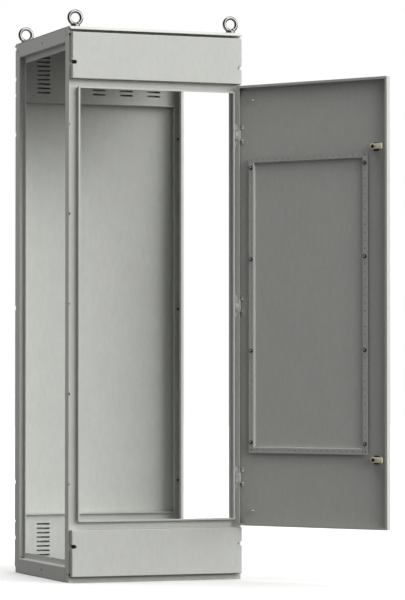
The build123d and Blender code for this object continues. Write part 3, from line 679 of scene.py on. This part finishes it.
def nut_tree():
    """Chamfered nut on a flange; with many sides it is a round insert."""
    tree = GeometryTree("nut", {
        "Sides": "int", "Radius": "float", "Height": "float", "Bore": "float", "Face": "float",
        "Flange Radius": "float", "Flange Height": "float", "Axis": "vector", "Material": "material",
    })
    height = tree.given("Height")
    body = tree.chamfered(tree.given("Sides"), tree.given("Radius"), height, tree.given("Face"))
    slope = tree.math("MULTIPLY", tree.given("Flange Radius"), 0.88)
    rim = tree.math("MULTIPLY", tree.given("Flange Height"), 0.45)
    flat = tree.standing(FLANGE_SIDES, tree.given("Flange Radius"), rim)
    dome_height = tree.math("SUBTRACT", tree.given("Flange Height"), rim)
    dome = tree.lift(tree.cone(FLANGE_SIDES, slope, tree.given("Flange Radius"), dome_height), rim)
    whole = tree.cut("UNION", body, tree.cut("UNION", flat, dome))
    bore = tree.cylinder(BORE_SIDES, tree.given("Bore"), tree.math("MULTIPLY", height, 4.0))
    return tree.finish(tree.cut("DIFFERENCE", whole, bore))


def washer_tree():
    """Chamfered round washer."""
    tree = GeometryTree("washer", {
        "Radius": "float", "Height": "float", "Bore": "float", "Face": "float",
        "Axis": "vector", "Material": "material",
    })
    height = tree.given("Height")
    body = tree.chamfered(WASHER_SIDES, tree.given("Radius"), height, tree.given("Face"))
    bore = tree.cylinder(FLANGE_SIDES, tree.given("Bore"), tree.math("MULTIPLY", height, 4.0))
    return tree.finish(tree.cut("DIFFERENCE", body, bore))


def stud_tree():
    """Threaded stud or shank."""
    tree = GeometryTree("stud", {
        "Radius": "float", "Pitch": "float", "Length": "float", "Axis": "vector", "Material": "material",
    })
    return tree.finish(tree.thread(tree.given("Radius"), tree.given("Pitch"), tree.given("Length")))


def screw_tree():
    """Pan-head screw with a hexagon socket, its thread below the head."""
    tree = GeometryTree("screw", {
        "Radius": "float", "Pitch": "float", "Length": "float", "Head Radius": "float",
        "Head Height": "float", "Socket": "float", "Axis": "vector", "Material": "material",
    })
    shank = tree.math("SUBTRACT", tree.given("Length"), tree.given("Head Height"))
    thread = tree.thread(tree.given("Radius"), tree.given("Pitch"), shank)
    rim = tree.math("MULTIPLY", tree.given("Head Height"), 0.45)
    low = tree.standing(HEAD_SIDES, tree.given("Head Radius"), rim)
    crown = tree.math("MULTIPLY", tree.given("Head Radius"), 0.72)
    dome_height = tree.math("SUBTRACT", tree.given("Head Height"), rim)
    dome = tree.lift(tree.cone(HEAD_SIDES, crown, tree.given("Head Radius"), dome_height), rim)
    socket = tree.lift(tree.cylinder(6, tree.given("Socket"), rim), tree.given("Head Height"))
    head = tree.cut("DIFFERENCE", tree.cut("UNION", low, dome), socket)
    return tree.finish(tree.join([thread, tree.lift(head, shank)]))


TREES = {}


def hexagon(flats, chamfer):
    """Sides, corner radius and face radius of a nut, from its width across flats and its chamfer."""
    return {"Sides": 6, "Radius": flats / 2 / math.cos(math.pi / 6), "Face": flats / 2 - chamfer}


def place_like(name, node, tree, axis, slot, body, **values):
    """A piece that stands for a CAD node: the tree's shape on each of the node's solids."""
    found = islands(node, axis)
    values = {"Axis": axis, "Material": FINISHES[slot], **values}
    if "Length" in TREES[tree].keys:
        values.setdefault("Length", found[0][1])
    if "Height" in TREES[tree].keys:
        values.setdefault("Height", found[0][1])
    piece = TREES[tree].on_points(name, [base for base, _ in found], values)
    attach(piece, body)
    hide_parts(node)
    return piece


# ------------------------------------------------------------------ shaped pieces


def softened(node, name, body, width, segments=2):
    """A copy of a CAD node with its doubles merged and its edges rounded, standing for the node."""
    piece = bpy.data.objects.new(name, NODES[node].data.copy())
    bpy.context.scene.collection.objects.link(piece)
    work = bmesh.new()
    work.from_mesh(piece.data)
    bmesh.ops.remove_doubles(work, verts=work.verts, dist=0.00001)
    bmesh.ops.dissolve_limit(
        work, angle_limit=math.radians(0.5), verts=work.verts, edges=work.edges
    )
    work.to_mesh(piece.data)
    work.free()
    bevel = piece.modifiers.new("edges", "BEVEL")
    bevel.width = width
    bevel.segments = segments
    bevel.limit_method = "ANGLE"
    bevel.angle_limit = math.radians(35)
    bpy.context.view_layer.update()
    graph = bpy.context.evaluated_depsgraph_get()
    made = bpy.data.meshes.new_from_object(piece.evaluated_get(graph))
    piece.modifiers.remove(bevel)
    piece.data = made
    shade_by_angle(piece, 30)
    slot = SLOT_OF_NODE[node]
    piece.data.materials.clear()
    piece.data.materials.append(FINISHES[slot])
    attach(piece, body)
    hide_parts(node)
    return piece


def turned(work, outline, steps, origin):
    """Add a closed turned solid about Z to a bmesh, from (radius, height) pairs that end on the axis."""
    rings = []
    for radius, height in outline[1:-1]:
        rings.append([
            work.verts.new(origin + Vector((radius * math.cos(a), radius * math.sin(a), height)))
            for a in (2 * math.pi * i / steps for i in range(steps))
        ])
    low = work.verts.new(origin + Vector((0, 0, outline[0][1])))
    high = work.verts.new(origin + Vector((0, 0, outline[-1][1])))
    for i in range(steps):
        j = (i + 1) % steps
        work.faces.new((low, rings[0][j], rings[0][i]))
        work.faces.new((high, rings[-1][i], rings[-1][j]))
        for a, b in zip(rings, rings[1:]):
            work.faces.new((a[i], a[j], b[j], b[i]))


def ring(work, centre, radius, section, steps, sides):
    """Add a ring in the XZ plane to a bmesh."""
    loops = []
    for i in range(steps):
        a = 2 * math.pi * i / steps
        out = Vector((math.cos(a), 0, math.sin(a)))
        loops.append([
            work.verts.new(
                centre + out * (radius + section * math.cos(b)) + Vector((0, section * math.sin(b), 0))
            )
            for b in (2 * math.pi * k / sides for k in range(sides))
        ])
    for i in range(steps):
        here, there = loops[i], loops[(i + 1) % steps]
        for k in range(sides):
            m = (k + 1) % sides
            work.faces.new((here[k], here[m], there[m], there[k]))


def forged_eye(name, node):
    """Lifting eye: collar, neck and ring blended as a forging. Returns the lower end of its thread."""
    eye = settings().eye
    low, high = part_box(node)
    middle = (low + high) / 2
    seat = low.z + eye.shank
    centre = Vector((middle.x, middle.y, high.z - eye.ring - eye.section))
    work = bmesh.new()
    outline = [
        (0, 0),
        (eye.collar - eye.chamfer, 0),
        (eye.collar, eye.chamfer),
        (eye.collar, eye.collar_height - eye.chamfer),
        (eye.collar - eye.chamfer, eye.collar_height),
        (eye.neck + eye.foot, eye.collar_height + eye.foot_height),
        (eye.neck, eye.collar_height + eye.neck_height),
        (0, eye.collar_height + eye.neck_height),
    ]
    turned(work, outline, COLLAR_SIDES, Vector((middle.x, middle.y, seat)))
    ring(work, centre, eye.ring, eye.section, RING_STEPS, RING_SIDES)
    bmesh.ops.recalc_face_normals(work, faces=work.faces)
    mesh = bpy.data.meshes.new(name)
    work.to_mesh(mesh)
    work.free()
    piece = bpy.data.objects.new(name, mesh)
    bpy.context.scene.collection.objects.link(piece)
    remesh = piece.modifiers.new("blend", "REMESH")
    remesh.mode = "VOXEL"
    remesh.voxel_size = eye.voxel
    smooth = piece.modifiers.new("soften", "SMOOTH")
    smooth.factor = 0.5
    smooth.iterations = 4
    bpy.context.view_layer.update()
    graph = bpy.context.evaluated_depsgraph_get()
    made = bpy.data.meshes.new_from_object(piece.evaluated_get(graph))
    piece.modifiers.clear()
    piece.data = made
    for polygon in made.polygons:
        polygon.use_smooth = True
    made.materials.clear()
    made.materials.append(FINISHES["chrome"])
    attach(piece, "cabinet")
    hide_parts(node)
    return Vector((middle.x, middle.y, low.z))


# ------------------------------------------------------------------ operators


class ENCLOSURE_OT_finishes(bpy.types.Operator):
    """Make the materials of all finishes"""

    bl_idname = "enclosure.finishes"
    bl_label = "Finishes"

    def execute(self, context):
        FINISHES.update(make_finishes())
        return {"FINISHED"}


class ENCLOSURE_OT_sheet_metal(bpy.types.Operator):
    """Coat the cabinet, the door and the locks"""

    bl_idname = "enclosure.sheet_metal"
    bl_label = "Sheet Metal"

    def execute(self, context):
        for body in RECORD["behaviour"]["bodies"]:
            finish_nodes(body)
        return {"FINISHED"}


class ENCLOSURE_OT_fixing_shapes(bpy.types.Operator):
    """Build the node trees of nuts, washers, studs and screws"""

    bl_idname = "enclosure.fixing_shapes"
    bl_label = "Fixing Shapes"

    def execute(self, context):
        TREES.update(nut=nut_tree(), washer=washer_tree(), stud=stud_tree(), screw=screw_tree())
        return {"FINISHED"}


class ENCLOSURE_OT_lifting_eyes(bpy.types.Operator):
    """Forge the four lifting eyes with their threads, washers and nuts"""

    bl_idname = "enclosure.lifting_eyes"
    bl_label = "Lifting Eyes"

    def execute(self, context):
        fixing, eye = settings().fixing, settings().eye
        corners = [(y, x) for y in ("front", "rear") for x in ("left", "right")]
        feet = [forged_eye(f"lifting_eye_{y}_{x}", f"eyebolt_{y}_{x}") for y, x in corners]
        shanks = TREES["stud"].on_points("lifting_eye_threads", feet, {
            "Radius": fixing.eye_thread, "Pitch": fixing.eye_pitch, "Length": eye.shank,
            "Axis": UP, "Material": FINISHES["chrome"],
        })
        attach(shanks, "cabinet")
        place_like(
            "lifting_eye_washers", "eyebolt_washers", "washer", UP, "chrome", "cabinet",
            Radius=fixing.eye_washer, Face=fixing.eye_washer - 0.5 * MM,
            Bore=fixing.eye_thread + fixing.eye_play,
        )
        place_like(
            "lifting_eye_nuts", "eyebolt_nuts", "nut", UP, "bright_zinc", "cabinet",
            Bore=fixing.eye_thread, **hexagon(fixing.eye_nut_flats, 0.3 * MM),
            **{"Flange Radius": fixing.eye_nut_flats / 2 - 0.5 * MM, "Flange Height": 1 * MM},
        )
        return {"FINISHED"}


class ENCLOSURE_OT_cover_screws(bpy.types.Operator):
    """Put the socket screws into the pockets of the covers"""

    bl_idname = "enclosure.cover_screws"
    bl_label = "Cover Screws"

    def execute(self, context):
        fixing = settings().fixing
        for node, axis in (("front_cover_screws", TO_FRONT), ("rear_cover_screws", TO_REAR)):
            place_like(
                node.replace("cover", "cover_socket"), node, "screw", axis, "black_steel", "cabinet",
                Radius=fixing.thread, Pitch=fixing.pitch, Socket=fixing.cover_socket,
                **{"Head Radius": fixing.cover_radius, "Head Height": fixing.cover_head},
            )
        return {"FINISHED"}


class ENCLOSURE_OT_hinges(bpy.types.Operator):
    """Round the hinge blocks and pins and put in their screws, stud and lock nut"""

    bl_idname = "enclosure.hinges"
    bl_label = "Hinges"

    def execute(self, context):
        fixing = settings().fixing
        for level in ("lower", "middle", "upper"):
            softened(f"hinge_block_{level}", f"hinge_block_cast_{level}", "cabinet", fixing.cast_edge)
            softened(f"hinge_pin_{level}", f"hinge_pin_turned_{level}", "cabinet", fixing.worn_edge)
        place_like(
            "hinge_socket_screws", "hinge_screws", "screw", TO_FRONT, "powder_coat", "cabinet",
            Radius=fixing.small_thread, Pitch=fixing.small_pitch, Socket=fixing.hinge_socket,
            **{"Head Radius": fixing.hinge_radius, "Head Height": fixing.hinge_head},
        )
        place_like(
            "hinge_threaded_stud", "hinge_stud", "stud", TO_FRONT, "bright_zinc", "cabinet",
            Radius=fixing.small_thread, Pitch=fixing.small_pitch,
        )
        place_like(
            "hinge_insert_nut", "hinge_lock_nut", "nut", TO_FRONT, "blue_nylon", "cabinet",
            Bore=fixing.small_thread, **hexagon(fixing.insert_nut_flats, 0.1 * MM),
            **{"Flange Radius": fixing.insert_nut_flats / 2 - 0.2 * MM, "Flange Height": 0.8 * MM},
        )
        return {"FINISHED"}


class ENCLOSURE_OT_panel_inserts(bpy.types.Operator):
    """Set the threaded inserts for side panels into the holes of the posts and rails; their black faces paint the
    shade inside the holes
    """

    bl_idname = "enclosure.panel_inserts"
    bl_label = "Panel Inserts"

    def execute(self, context):
        fixing = settings().fixing
        post_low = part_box("post_front_left")[0]
        low = post_low.z + fixing.insert_edge
        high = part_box("roof")[1].z - fixing.insert_edge
        spacing = (high - low) / PANEL_HOLE_SPACES
        heights = [low + spacing * step for step in range(PANEL_HOLE_SPACES + 1)]
        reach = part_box("front_frame")[0].y + fixing.insert_inset
        large = [(y, z) for y in (reach, -reach) for z in heights[::2]] + [(0, low), (0, high)]
        small = [(y, z) for y in (reach, -reach) for z in heights[1::2]]
        for side, axis in (("left", TO_RIGHT), ("right", -TO_RIGHT)):
            x = -axis.x * (abs(post_low.x) - 0.2 * MM)
            for size, places, radius in (
                ("large", large, fixing.large_insert), ("small", small, fixing.small_insert)
            ):
                # the inserts' black faces stand in for the shade inside the holes: painted shade
                piece = TREES["nut"].on_points(
                    f"panel_insert_{size}_{side}", [(x, y, z) for y, z in places], {
                        "Sides": 32, "Radius": radius, "Face": radius * 0.96,
                        "Height": fixing.insert_length, "Bore": radius * 0.42,
                        "Flange Radius": radius * 0.98, "Flange Height": 0.6 * MM,
                        "Axis": axis, "Material": FINISHES["black_steel"],
                    },
                )
                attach(piece, "cabinet")
        return {"FINISHED"}


class ENCLOSURE_OT_door_fixings(bpy.types.Operator):
    """Thread the door's studs and put the flange nuts on them"""

    bl_idname = "enclosure.door_fixings"
    bl_label = "Door Fixings"

    def execute(self, context):
        fixing = settings().fixing
        for node in ("stiffener_studs", "door_earth_studs"):
            place_like(
                f"{node}_threaded", node, "stud", INTO_DOOR, "bright_zinc", "door",
                Radius=fixing.thread, Pitch=fixing.pitch,
            )
        # black steel on the stiffener nuts paints in the dark reflection that they show: painted reflection
        place_like(
            "stiffener_flange_nuts", "stiffener_nuts", "nut", INTO_DOOR, "black_steel", "door",
            Bore=fixing.thread, **hexagon(fixing.nut_flats, 0.1 * MM),
            **{"Flange Radius": fixing.nut_flange, "Flange Height": fixing.nut_flange_height},
        )
        return {"FINISHED"}


class ENCLOSURE_OT_locks(bpy.types.Operator):
    """Round the edges of the cams and lock bodies and put in the cam screws"""

    bl_idname = "enclosure.locks"
    bl_label = "Cam Locks"

    def execute(self, context):
        fixing = settings().fixing
        for level in ("lower", "upper"):
            softened(f"lock_cam_{level}", f"lock_cam_pressed_{level}", f"cam_{level}", fixing.worn_edge)
            softened(f"lock_housing_{level}", f"lock_housing_turned_{level}", "door", fixing.cast_edge)
            place_like(
                f"cam_socket_screw_{level}", f"cam_screw_{level}", "screw", INTO_DOOR, "black_steel",
                f"cam_{level}", Radius=fixing.small_thread, Pitch=fixing.small_pitch,
                Socket=fixing.cam_socket,
                **{"Head Radius": fixing.cam_radius, "Head Height": fixing.cam_head},
            )
            place_like(
                f"lock_hex_nut_{level}", f"lock_nut_{level}", "nut", INTO_DOOR, "black_steel", "door",
                Bore=fixing.lock_barrel, **hexagon(fixing.lock_nut_flats, 0.3 * MM),
                **{"Flange Radius": fixing.lock_nut_flats / 2 - 0.5 * MM, "Flange Height": 1 * MM},
            )
        return {"FINISHED"}


class ENCLOSURE_OT_stage(bpy.types.Operator):
    """Set up the floor, the soft studio light and the camera"""

    bl_idname = "enclosure.stage"
    bl_label = "Stage"

    def execute(self, context):
        studio = settings().studio
        half = studio.floor / 2
        mesh = bpy.data.meshes.new("floor")
        mesh.from_pydata([(-half, -half, 0), (half, -half, 0), (half, half, 0), (-half, half, 0)], [],
                         [(0, 1, 2, 3)])
        floor = bpy.data.objects.new("floor", mesh)
        context.scene.collection.objects.link(floor)
        tree = Finish("pale floor")
        speck = tree.noise(tree.place, 3.0, 2.0)
        pale = tree.mix(speck, (0.93, 0.93, 0.93), (0.95, 0.95, 0.95))
        seen = tree.add("ShaderNodeBsdfDiffuse", {}, {"Color": pale})
        bounced = tree.add("ShaderNodeBsdfDiffuse", {}, {"Color": (0.10, 0.10, 0.10)})
        to_camera = tree.add("ShaderNodeLightPath").out("Is Camera Ray")
        both = tree.add("ShaderNodeMixShader", {}, [to_camera, bounced.out(0), seen.out(0)])
        tree.add("ShaderNodeOutputMaterial", {}, {"Surface": both.out(0)})
        mesh.materials.append(tree.material)
        self.sky(context.scene, studio)
        self.camera(context.scene, studio)
        context.scene.view_settings.view_transform = "Standard"
        return {"FINISHED"}

    def sky(self, scene, studio):
        """White to the camera; to the object, dark surroundings with soft boxes, strongest at the front."""
        world = bpy.data.worlds.new("studio")
        world.use_nodes = True
        scene.world = world
        tree = NodeTree(world.node_tree)
        look = tree.add("ShaderNodeTexCoord").out("Generated")
        level = 0.0
        for turn, lift, focus, box in SOFT_BOXES:
            turn, lift = math.radians(turn), math.radians(lift)
            toward = Vector((
                math.sin(turn) * math.cos(lift), -math.cos(turn) * math.cos(lift), math.sin(lift)
            ))
            facing = tree.add("ShaderNodeVectorMath", {"operation": "DOT_PRODUCT"}, [look, toward])
            level = facing.out("Value").above(0.0) ** focus * getattr(studio, box) + level
        level = level + studio.shade
        soft = tree.add("ShaderNodeBackground", {}, {"Color": (1.0, 1.0, 0.99), "Strength": level})
        white = tree.add("ShaderNodeBackground", {}, {"Color": (1.0, 1.0, 1.0), "Strength": 1.0})
        seen = tree.add("ShaderNodeLightPath").out("Is Camera Ray")
        both = tree.add("ShaderNodeMixShader", {}, [seen, soft.out(0), white.out(0)])
        tree.add("ShaderNodeOutputWorld", {}, {"Surface": both.out(0)})

    def camera(self, scene, studio):
        """Camera at the front left, a little above knee height."""
        data = bpy.data.cameras.new("camera")
        data.lens = studio.lens
        data.clip_end = 4 * studio.floor
        camera = bpy.data.objects.new("camera", data)
        camera.location = studio.place
        level = math.cos(studio.pitch)
        look = Vector((
            math.sin(studio.yaw) * level, math.cos(studio.yaw) * level, math.sin(studio.pitch)
        ))
        camera.rotation_euler = look.to_track_quat("-Z", "Y").to_euler()
        scene.collection.objects.link(camera)
        scene.camera = camera


OPERATORS = (
    ENCLOSURE_OT_finishes,
    ENCLOSURE_OT_sheet_metal,
    ENCLOSURE_OT_fixing_shapes,
    ENCLOSURE_OT_lifting_eyes,
    ENCLOSURE_OT_cover_screws,
    ENCLOSURE_OT_hinges,
    ENCLOSURE_OT_panel_inserts,
    ENCLOSURE_OT_door_fixings,
    ENCLOSURE_OT_locks,
    ENCLOSURE_OT_stage,
)


class ENCLOSURE_PT_panel(bpy.types.Panel):
    """Lists the operators and settings of the enclosure"""

    bl_idname = "ENCLOSURE_PT_panel"
    bl_label = "Enclosure"
    bl_space_type = "VIEW_3D"
    bl_region_type = "UI"
    bl_category = "Enclosure"

    def draw(self, context):
        for operator in OPERATORS:
            self.layout.operator(operator.bl_idname)
        for group in (settings().finish, settings().fixing, settings().eye, settings().studio):
            box = self.layout.box()
            for name in group.bl_rna.properties.keys():
                if name not in ("rna_type", "name"):
                    box.prop(group, name)


CLASSES = (
    FinishSettings,
    FixingSettings,
    EyeSettings,
    StudioSettings,
    EnclosureSettings,
    *OPERATORS,
    ENCLOSURE_PT_panel,
)


def register():
    for item in CLASSES:
        bpy.utils.register_class(item)
    bpy.types.Scene.enclosure = PointerProperty(type=EnclosureSettings)


def unregister():
    del bpy.types.Scene.enclosure
    for item in reversed(CLASSES):
        bpy.utils.unregister_class(item)


def main():
    register()
    bpy.ops.enclosure.finishes()
    bpy.ops.enclosure.sheet_metal()
    bpy.ops.enclosure.fixing_shapes()
    bpy.ops.enclosure.lifting_eyes()
    bpy.ops.enclosure.cover_screws()
    bpy.ops.enclosure.hinges()
    bpy.ops.enclosure.panel_inserts()
    bpy.ops.enclosure.door_fixings()
    bpy.ops.enclosure.locks()
    bpy.ops.enclosure.stage()


if __name__ == "__main__":
    main()
